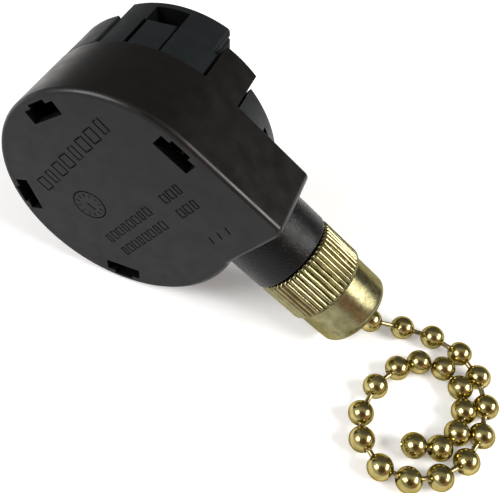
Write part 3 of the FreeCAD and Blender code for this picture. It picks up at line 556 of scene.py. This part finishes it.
def thread_profile():
    """The neck and its threaded stub from the block out to the tip, as (along, radius)."""
    points = [(BLOCK_END - 0.6, NECK_RADIUS), (NECK_END - 0.3, NECK_RADIUS)]
    points += [(NECK_END - 0.09, NECK_RADIUS - 0.09), (NECK_END, NECK_RADIUS - 0.3), (NECK_END, STUB_RADIUS)]
    turns = int((STUB_END - NECK_END) / THREAD_PITCH)
    for turn in reversed(range(turns)):
        crest = STUB_END - THREAD_PITCH * (turn + 0.5)
        points += [(crest - 0.37, STUB_RADIUS), (crest - 0.05, THREAD_CREST)]
        points += [(crest + 0.05, THREAD_CREST), (crest + 0.37, STUB_RADIUS)]
    points.append((STUB_END, STUB_RADIUS - 0.1))
    return points


def build_case():
    case = prism(case_outline(), 0.0, WALL_HEIGHT, RIM, EDGE, steps=8)
    combine(case, turning(thread_profile()), "UNION")
    combine(case, prism(circle(CASE_RADIUS - WALL, count=180), FLOOR, 20.0), "DIFFERENCE")
    for station in STATIONS:
        tab = turned(station_outline(TAB_INNER, CASE_RADIUS - SKIN, TAB_ANGLE), station)
        combine(case, prism(tab, WALL_HEIGHT - 1.0, TAB_TOP, 0.0, EDGE), "UNION")
        barb = turned(station_outline(15.2, 16.6, BARB_ANGLE), station)
        combine(case, prism(barb, DECK_TOP, DECK_TOP + 1.6, 0.0, 0.3), "UNION")
        combine(case, prism(turned(face_window(), station), -1.0, FLOOR + 1.0), "DIFFERENCE")
    combine(case, turning([(8.0, CHAIN_BORE), (STUB_END + 1, CHAIN_BORE)], 48), "DIFFERENCE")
    guide_seat = [(STUB_END - GUIDE_LENGTH, GUIDE_BORE), (STUB_END + 1, GUIDE_BORE)]
    combine(case, turning(guide_seat, 48), "DIFFERENCE")
    combine(case, engraving(), "DIFFERENCE")
    combine(case, clock_ring(), "DIFFERENCE")
    combine(case, parting_groove(), "DIFFERENCE")
    case.data.materials.clear()
    across_tab = on_circle(1.0, STATIONS[1])
    for face in case.data.polygons:
        on_face = face.center.z < 0.02 and abs(face.normal.z) > 0.9
        engraved = 0 < face.center.z < 0.17 and face.area < 0.17
        if face.center.x > BLOCK_END + 0.02:
            face.material_index = 2
        # The rating face and its engraving take the lighter copy of the plastic, painted light.
        elif on_face or engraved:
            face.material_index = 1
        # The walls inside the cup take the near-black copy, painted shade.
        elif face.center.z > 0.02 and face.center.xy.length < CASE_RADIUS - WALL + 0.6:
            face.material_index = 3
        elif face.center.z > WALL_HEIGHT + 0.05 and face.center.xy.dot(across_tab) > 14:
            face.material_index = 4
        else:
            face.material_index = 0
    materials = [CASE_WALL, FACE_PAINTED_LIGHT, NECK, PAINTED_SHADE_INSIDE, COVER]
    return lay_down(case, "case_shell", "case", "rear_case", materials)


# ---------------------------------------------------------------- terminal cover

def build_cover():
    cover = prism(circle(COVER_RADIUS, count=360), COVER_FOOT, DECK_TOP, EDGE, 0.3)
    tower = turned(tower_outline(COVER_RADIUS + SKIN, TOWER_HALF, TOWER_BACK, TOWER_CORNER), TOWER_TURN)
    combine(cover, prism(tower, COVER_FOOT, TOWER_TOP, EDGE, 0.45, 5), "UNION")
    combine(cover, prism(circle(TAB_INNER, count=180), 10.0, COVER_FOOT + 1.0), "UNION")
    combine(cover, prism(circle(COVER_INNER, count=180), 9.0, DECK_TOP - DECK_WALL), "DIFFERENCE")
    wall = TOWER_WALL
    chamber = rectangle(wall - TOWER_BACK, COVER_INNER - wall, wall - TOWER_HALF, TOWER_HALF - wall)
    combine(cover, prism(turned(chamber, TOWER_TURN), 11.0, TOWER_TOP - wall), "DIFFERENCE")
    guides = ((TOWER_TOP - wall - 1.6, WIRE_GUIDE), (TOWER_TOP - 0.7, WIRE_GUIDE))
    bores = (
        (15.0, WIRE_BORE),
        (TOWER_TOP - 0.55, WIRE_BORE),
        (TOWER_TOP + 0.2, WIRE_MOUTH),
        (TOWER_TOP + 1.0, WIRE_MOUTH),
    )
    combine(cover, wire_entries(guides), "UNION")
    combine(cover, wire_entries(bores), "DIFFERENCE")
    notches = bmesh.new()
    for station in STATIONS:
        notch = turned(station_outline(15.8, COVER_RADIUS + 1, 9.9), station)
        add_prism(notches, notch, 9.05, TOWER_TOP + 0.9)
    combine(cover, new_object("tool", notches), "DIFFERENCE")
    relief_cut = turned(station_outline(15.0, 16.4, 7.0), STATIONS[1])
    combine(cover, prism(relief_cut, DECK_TOP, DECK_TOP + 1.9), "DIFFERENCE")
    slot_plan = rectangle(COVER_INNER - 1.5, COVER_RADIUS + 1, -SLOT_WIDTH / 2, SLOT_WIDTH / 2)
    combine(cover, prism(turned(slot_plan, TOWER_TURN), 9.0, KEY_SLOT_TOP), "DIFFERENCE")
    for angle in (-54.0, -198.0, -270.0):
        combine(cover, prism(turned(slot_plan, angle), 9.0, SIDE_SLOT_TOP), "DIFFERENCE")
    side_gap = turned(rectangle(COVER_INNER - 1.5, COVER_RADIUS + 1, -2.8, -2.0), TOWER_TURN)
    combine(cover, prism(side_gap, 9.0, 17.6), "DIFFERENCE")
    combine(cover, turning([(15.5, NECK_RADIUS + 0.3), (20.0, NECK_RADIUS + 0.3)], 96), "DIFFERENCE")
    soften(cover, 0.1)
    cover.data.materials.clear()
    to_tower = Matrix.Rotation(math.radians(-TOWER_TURN), 2)
    for face in cover.data.polygons:
        spot = to_tower @ face.center.xy
        under_tower = abs(spot.y) < TOWER_HALF - 0.3 and spot.x > 0.3 - TOWER_BACK
        roof = TOWER_TOP - 0.8 if under_tower else DECK_TOP - 0.5
        outside = face.normal.z > 0.5 and face.center.z > DECK_TOP - 0.4
        # Faces inside the cover take the near-black copy, painted shade.
        in_painted_shade = face.center.z < roof and face.center.xy.length < COVER_RADIUS - 0.35 and not outside
        # The flank facing along the tower's +Y side takes the darker copy, painted shade.
        shaded_flank = face.center.z > DECK_TOP and (to_tower @ face.normal.xy).y > 0.8
        face.material_index = 1 if in_painted_shade else 2 if shaded_flank else 0
    materials = [COVER, PAINTED_SHADE_INSIDE, COVER_SHADED_SIDE]
    return lay_down(cover, "cover_shell", "case", "terminal_cover", materials)


def wire_entries(levels):
    """Four upright turned solids, one at each wire entry, from (height, radius) pairs."""
    shape = bmesh.new()
    for along in (11.0, 3.0):
        for across in (3.3, -3.3):
            centre = turned([Vector((along, across))], TOWER_TURN)[0]
            rings = []
            for height, radius in levels:
                rings.append([shape.verts.new((*point, height)) for point in circle(radius, centre, 48)])
            bridge(shape, rings)
            shape.faces.new(rings[0][::-1])
            shape.faces.new(rings[-1])
    return new_object("tool", shape)


def soften(piece, width):
    """Breaks the sharp edges that the cuts left."""
    bevel = piece.modifiers.new("soften", "BEVEL")
    bevel.width = width
    bevel.segments = 2
    bevel.limit_method = "ANGLE"
    bevel.angle_limit = math.radians(40)
    bevel.miter_outer = "MITER_ARC"
    bevel.use_clamp_overlap = True
    depsgraph = bpy.context.evaluated_depsgraph_get()
    mesh = bpy.data.meshes.new_from_object(piece.evaluated_get(depsgraph))
    piece.modifiers.clear()
    piece.data = mesh


# ---------------------------------------------------------------- nut

def nut_profile():
    """The nut's section as (along, radius), from its bore round the outside and back."""
    chamfer = 0.4
    points = [(NUT_START, NUT_BORE), (NUT_START, NUT_RADIUS - chamfer), (NUT_START + 0.12, NUT_RADIUS - 0.15)]
    points.append((NUT_START + chamfer, NUT_RADIUS))
    length = KNURL_END - NUT_START - 2 * chamfer
    points += [(NUT_START + chamfer + length * step / 24, NUT_RADIUS) for step in range(1, 25)]
    points += [(KNURL_END - 0.12, NUT_RADIUS - 0.14), (KNURL_END, TIP_RADIUS + 0.12)]
    points.append((KNURL_END + 0.12, TIP_RADIUS))
    shoulder = NUT_END - TIP_ROUND
    for step in range(1, 9):
        points.append((KNURL_END + 0.12 + (shoulder - KNURL_END - 0.12) * step / 8, TIP_RADIUS))
    for step in range(1, 13):
        turn = math.radians(90 * step / 12)
        points.append((shoulder + TIP_ROUND * math.sin(turn), TIP_RADIUS - TIP_ROUND * (1 - math.cos(turn))))
    points += [(NUT_END, TIP_HOLE + 0.3), (NUT_END - 0.09, TIP_HOLE + 0.09), (NUT_END - 0.3, TIP_HOLE)]
    points += [(NUT_FLOOR, TIP_HOLE), (NUT_FLOOR, NUT_BORE), (NUT_START, NUT_BORE)]
    return points


def rib_radius(along, radius, angle):
    """Straight ribs with rounded crowns, a little uneven in depth, fading out at the chamfers."""
    on_ribs = NUT_START - 0.01 < along < KNURL_END + 0.01 and radius > TIP_RADIUS + 0.2
    wobble = 0.012 * noise.noise(Vector((along * 0.7, math.cos(angle) * 4, math.sin(angle) * 4)))
    if not on_ribs:
        return radius + (wobble if radius > TIP_HOLE + 1 and along > KNURL_END else 0.0)
    share = angle / (2 * math.pi) * RIB_COUNT
    rib = math.floor(share)
    uneven = noise.noise(Vector((rib * 3.7, along * 0.35, 0.5)))
    across = abs(share - rib - 0.5) * 2
    depth = (0.34 + 0.12 * uneven) * across ** (2.0 - uneven)
    return radius - depth + wobble


def build_nut():
    nut = turning(nut_profile(), RIB_COUNT * 12, rib_radius)
    return lay_down(nut, "nut_body", "nut", "knurled_nut", [NUT_BRASS], 40)


# ---------------------------------------------------------------- pull chain

def route_points():
    """The chain's own line, read from a spline along its route."""
    curve = bpy.data.curves.new("route", "CURVE")
    curve.dimensions = "3D"
    curve.resolution_u = 24
    spline = curve.splines.new("NURBS")
    places = [CHAIN_EXIT] + [Vector(place) * MM for place in ROUTE]
    spline.points.add(len(places) - 1)
    for point, place in zip(spline.points, places):
        point.co = (*place, 1)
    spline.order_u = 3
    spline.use_endpoint_u = True
    holder = bpy.data.objects.new("route", curve)
    bpy.context.scene.collection.objects.link(holder)
    mesh = bpy.data.meshes.new_from_object(holder)
    points = [vert.co.copy() for vert in mesh.vertices]
    bpy.data.objects.remove(holder)
    return points


def at_distance(points, distance):
    for start, end in zip(points, points[1:]):
        step = (end - start).length
        if distance <= step:
            return start.lerp(end, distance / step)
        distance -= step
    return points[-1].copy()


def add_ring_path(shape, places, frame_of, material):
    """Skins rings given as (along, radius) on a piece's own axis; radius 0 closes an end."""
    count = 28
    rings = []
    for along, radius in places:
        if radius == 0:
            rings.append([shape.verts.new(frame_of @ Vector((0, 0, along)))])
            continue
        ring = []
        for index in range(count):
            angle = 2 * math.pi * index / count
            place = Vector((radius * math.cos(angle), radius * math.sin(angle), along))
            ring.append(shape.verts.new(frame_of @ place))
        rings.append(ring)
    for lower, upper in zip(rings, rings[1:]):
        for index in range(count):
            after = (index + 1) % count
            if len(lower) == 1:
                corners = (lower[0], upper[after], upper[index])
            elif len(upper) == 1:
                corners = (lower[index], lower[after], upper[0])
            else:
                corners = (lower[index], lower[after], upper[after], upper[index])
            shape.faces.new(corners).material_index = material


def bead_profile():
    """The section of a pressed bead: a ball with a dimpled hole at each end, in metres."""
    hole = math.asin(BEAD_HOLE / BEAD)
    points = [(-BEAD * math.cos(hole) * 0.80, 0.0), (-BEAD * math.cos(hole) * 0.84, 0.40)]
    points.append((-BEAD * math.cos(hole) * 0.93, 0.52))
    for step in range(21):
        turn = hole + (math.pi - 2 * hole) * step / 20
        points.append((-BEAD * math.cos(turn), BEAD * math.sin(turn)))
    points.append((BEAD * math.cos(hole) * 0.93, 0.52))
    points.append((BEAD * math.cos(hole) * 0.84, 0.40))
    points.append((BEAD * math.cos(hole) * 0.80, 0.0))
    return [(along * MM, radius * MM) for along, radius in points]


def axis_frame(place, direction, roll):
    turn = direction.to_track_quat("Z", "X").to_matrix().to_4x4()
    return Matrix.Translation(place) @ turn @ Matrix.Rotation(roll, 4, "Z")


def build_chain():
    """Beads and links along the route, drawn out where the chain runs free and pushed up at its end."""
    line = route_points()
    length = sum((b - a).length for a, b in zip(line, line[1:]))
    # The gaps between beads, set from the way the photograph's chain lies.
    gaps = [5.5, 4.6, 4.5, 4.2, 4.6, 4.5, 4.7, 4.6, 4.3, 3.9, 4.2, 3.7, 4.8, 4.7] + [3.6] * 7
    lead = 4.7
    stretch = (length / MM - lead - BEAD) / sum(gaps)
    stops = [lead * MM]
    for gap in gaps:
        stops.append(stops[-1] + gap * stretch * MM)
    beads = [at_distance(line, stop) for stop in stops]
    chance = random.Random(7)
    shape = bmesh.new()
    profile = bead_profile()
    lift = Vector((0, 0, TABLE + BEAD * MM - BED * MM))
    for index, place in enumerate(beads):
        before = beads[index - 1] if index else line[0]
        after = beads[min(index + 1, len(beads) - 1)]
        direction = (after - before).normalized()
        direction += Vector((chance.gauss(0, 0.05), chance.gauss(0, 0.05), chance.gauss(0, 0.05)))
        add_ring_path(shape, profile, axis_frame(place + lift, direction, chance.random() * 6.28), 0)
    inside = 0.82 * BEAD * MM
    ends = [line[0]] + beads
    for start, end in zip(ends, ends[1:]):
        along = end - start
        reach = along.length
        first = 0.0 if start is line[0] else inside
        stem = LINK * MM
        last = reach - inside
        rod = [(first, 0.0), (first, stem * 1.15)]
        for share in (0.15, 0.3, 0.5, 0.7, 0.85):
            rod.append((first + (last - first) * share, stem * (0.86 + 0.5 * (share - 0.5) ** 2)))
        rod += [(last, stem * 1.15), (last, 0.0)]
        add_ring_path(shape, rod, axis_frame(start + lift, along, 0.0), 1)
    chain = new_object("pull_chain_beads", shape)
    chain.data.materials.append(BEAD_BRASS)
    chain.data.materials.append(LINK_BRASS)
    chain.data.shade_smooth()
    chain.data.set_sharp_from_angle(angle=math.radians(45))
    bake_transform(chain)
    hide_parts("pull_chain")
    return chain


# ---------------------------------------------------------------- carried-over parts

def dress_frame():
    """Materials for the CAD parts that keep their own shape."""
    finishes = {
        "contact_carrier": COVER,
        "drum_axle": STEEL,
        "drum_return_spring": STEEL,
        "detent_ball": STEEL,
        "detent_spring": STEEL,
        "rotor_spring": STEEL,
        "chain_guide": STRIP_BRASS,
        "drive_drum": NYLON,
        "ratchet_rotor": NYLON,
        "rotor_contact": STRIP_BRASS,
        "chain_anchor": LINK_BRASS,
        "chain_drum_wrap": BEAD_BRASS,
        "chain_inner_run": BEAD_BRASS,
    }
    for name, node in frame["nodes"].items():
        metal = STRIP_BRASS if name.startswith("terminal_") else STEEL
        finish = finishes.get(name, metal)
        node.data.materials.clear()
        node.data.materials.append(finish)
    edges = frame["nodes"]["contact_carrier"].modifiers.new("soften", "BEVEL")
    edges.width = 0.12 * MM
    edges.segments = 2
    edges.limit_method = "ANGLE"
    edges.angle_limit = math.radians(40)


# ---------------------------------------------------------------- studio

def build_stage():
    shape = bmesh.new()
    half = 1.2
    corners = ((-half, -half), (half, -half), (half, half), (-half, half))
    shape.faces.new([shape.verts.new((x, y, TABLE)) for x, y in corners])
    floor = new_object("floor", shape)
    material, tree, shader = surface("paper", Roughness=0.9, Specular_IOR_Level=0.1, Emission_Strength=0.22,
                                     Emission_Color=(1, 1, 1, 1))
    fibre = grain(tree, 3.0, 6.0)
    tree.links.new(tint(tree, fibre, (0.86, 0.86, 0.86), (0.90, 0.90, 0.90)), shader.inputs["Base Color"])
    floor.data.materials.append(material)


def soft_light(name, place, target, size, power, colour=(1, 1, 1)):
    lamp = bpy.data.lights.new(name, "AREA")
    lamp.shape = "RECTANGLE"
    lamp.size, lamp.size_y = size
    lamp.energy = power
    lamp.color = colour
    holder = bpy.data.objects.new(name, lamp)
    bpy.context.scene.collection.objects.link(holder)
    holder.location = place
    holder.rotation_euler = (Vector(target) - Vector(place)).to_track_quat("-Z", "Y").to_euler()
    return holder


def build_studio(view):
    """A pale tent, darker behind the switch, brown round the lens and warm beside it, with two soft boxes."""
    world = bpy.data.worlds.new("tent")
    bpy.context.scene.world = world
    world.use_nodes = True
    tree = world.node_tree
    background = tree.nodes["Background"]
    direction = tree.nodes.new("ShaderNodeTexCoord").outputs["Generated"]
    split = tree.nodes.new("ShaderNodeSeparateXYZ")
    tree.links.new(direction, split.inputs[0])
    depth = tree.nodes.new("ShaderNodeValToRGB")
    depth.color_ramp.elements[0].position = 0.0
    depth.color_ramp.elements[0].color = (0.62, 0.62, 0.62, 1)
    depth.color_ramp.elements[1].position = 0.5
    depth.color_ramp.elements[1].color = (0.14, 0.14, 0.14, 1)
    tree.links.new(split.outputs["Y"], depth.inputs["Fac"])
    colour = depth.outputs["Color"]
    beside = Vector((0.74, -0.58, 0.34)).normalized()
    for aim, start, end, shade in (
        (view, 0.80, 0.93, (0.26, 0.15, 0.10)),
        (beside, 0.89, 0.97, (0.85, 0.52, 0.36)),
    ):
        towards = tree.nodes.new("ShaderNodeVectorMath")
        towards.operation = "DOT_PRODUCT"
        tree.links.new(direction, towards.inputs[0])
        towards.inputs[1].default_value = aim
        spot = tint(tree, towards.outputs["Value"], (1, 1, 1), shade, start, end)
        shaded = tree.nodes.new("ShaderNodeMixRGB")
        shaded.blend_type = "MULTIPLY"
        shaded.inputs["Fac"].default_value = 1.0
        tree.links.new(colour, shaded.inputs["Color1"])
        tree.links.new(spot, shaded.inputs["Color2"])
        colour = shaded.outputs["Color"]
    tree.links.new(colour, background.inputs["Color"])
    middle = Vector((0.02, 0.0, 0.0))
    left, right, away = Vector((-0.60, -0.50, 0.62)), Vector((0.79, 0.05, 0.60)), 0.38
    soft_light("left_box", middle + left * away, middle, (0.20, 0.20), 1.1)
    soft_light("right_box", middle + right * away, middle, (0.24, 0.11), 1.5, (1.0, 0.99, 0.96))


def build_camera():
    """The photograph's view: from in front and above, rolled a little clockwise."""
    azimuth, elevation, roll = map(math.radians, (11.9, 51.0, 11.13))
    back = Vector((
        math.sin(azimuth) * math.cos(elevation),
        -math.cos(azimuth) * math.cos(elevation),
        math.sin(elevation),
    ))
    data = bpy.data.cameras.new("camera")
    data.sensor_width = 36.0
    data.lens = 46.05
    data.clip_start = 0.005
    camera = bpy.data.objects.new("camera", data)
    bpy.context.scene.collection.objects.link(camera)
    turn = (-back).to_track_quat("-Z", "Y").to_matrix() @ Matrix.Rotation(roll, 3, "Z")
    camera.matrix_world = Matrix.Translation((0.03008, -0.05093, 0.06550)) @ turn.to_4x4()
    bpy.context.scene.camera = camera
    return back


dress_frame()
build_case()
build_cover()
build_nut()
build_chain()
build_stage()
build_studio(build_camera())
bpy.context.scene.view_settings.view_transform = "Standard"
